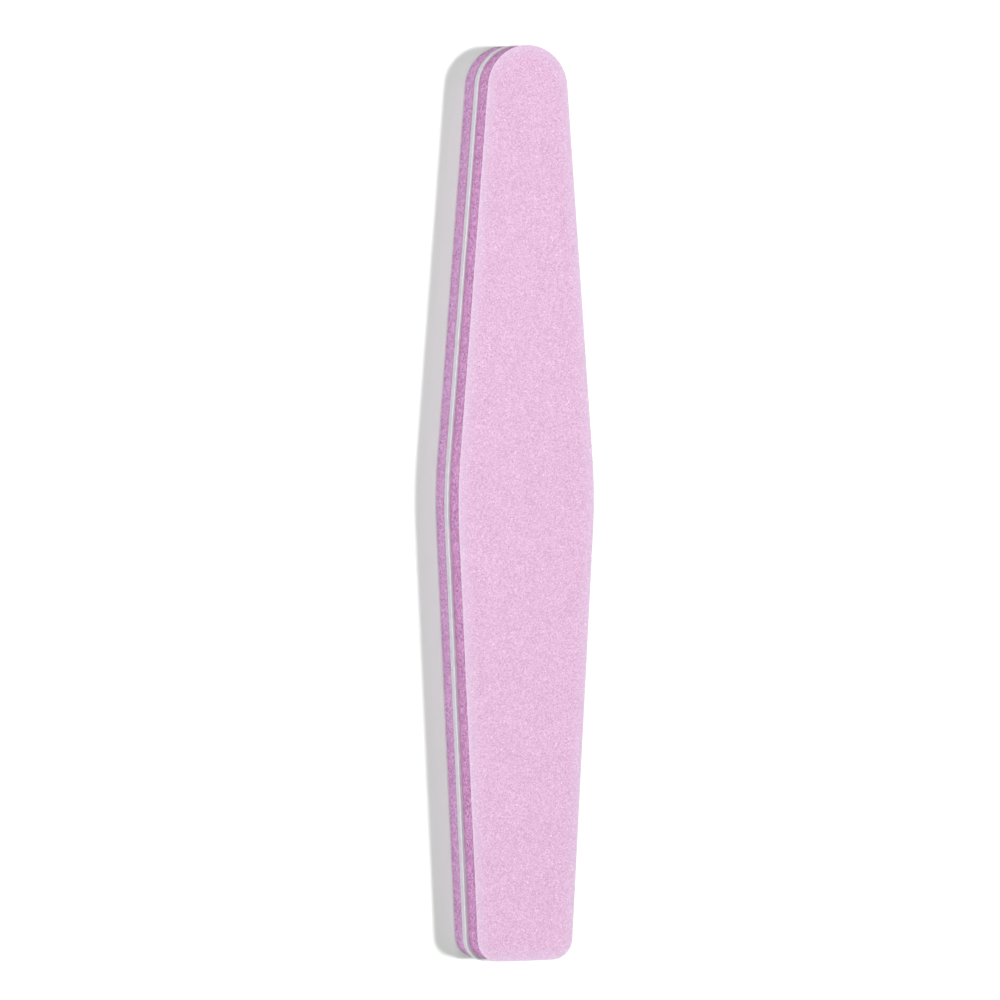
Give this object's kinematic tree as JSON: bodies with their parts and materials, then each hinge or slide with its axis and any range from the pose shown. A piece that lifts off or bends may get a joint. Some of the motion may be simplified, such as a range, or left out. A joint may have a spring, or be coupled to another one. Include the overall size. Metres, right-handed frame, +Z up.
{
  "type": "nail buffer",
  "caption": "Slim double-sided sponge nail buffer, widest at mid-length, with one round end and one square end: abrasive sheets on foam pads over a stiff core.",
  "frame": {"origin": "on the surface that the buffer lies on, below the middle of its length and width", "axes": "+Y along the length towards the round end, +X to the right seen from the front face, +Z up through the layers, from the back grit to the front grit"},
  "size_m": [0.029, 0.178, 0.012],
  "materials": {
    "pink_grit": "pale pink abrasive grain bonded in resin, finely speckled, with small bright glints",
    "coated_paper": "matt latex-filled backing paper, seen only at its cut edge",
    "clear_adhesive": "thin film of pressure-sensitive adhesive, slightly glossy at its cut edge",
    "mauve_foam": "die-cut closed-cell foam with a fine open-celled cut wall",
    "grey_tape": "thin double-sided tape, a dark mauve-grey line at its cut edge",
    "white_plastic": "satin white polystyrene sheet with a lightly rounded cut edge"
  },
  "bodies": {
    "root": {"back_grit_coat": "pink_grit", "back_backing_paper": "coated_paper", "back_paper_adhesive": "clear_adhesive", "back_foam_pad": "mauve_foam", "back_core_tape": "grey_tape", "core_board": "white_plastic", "front_core_tape": "grey_tape", "front_foam_pad": "mauve_foam", "front_paper_adhesive": "clear_adhesive", "front_backing_paper": "coated_paper", "front_grit_coat": "pink_grit"}
  },
  "joints": []
}
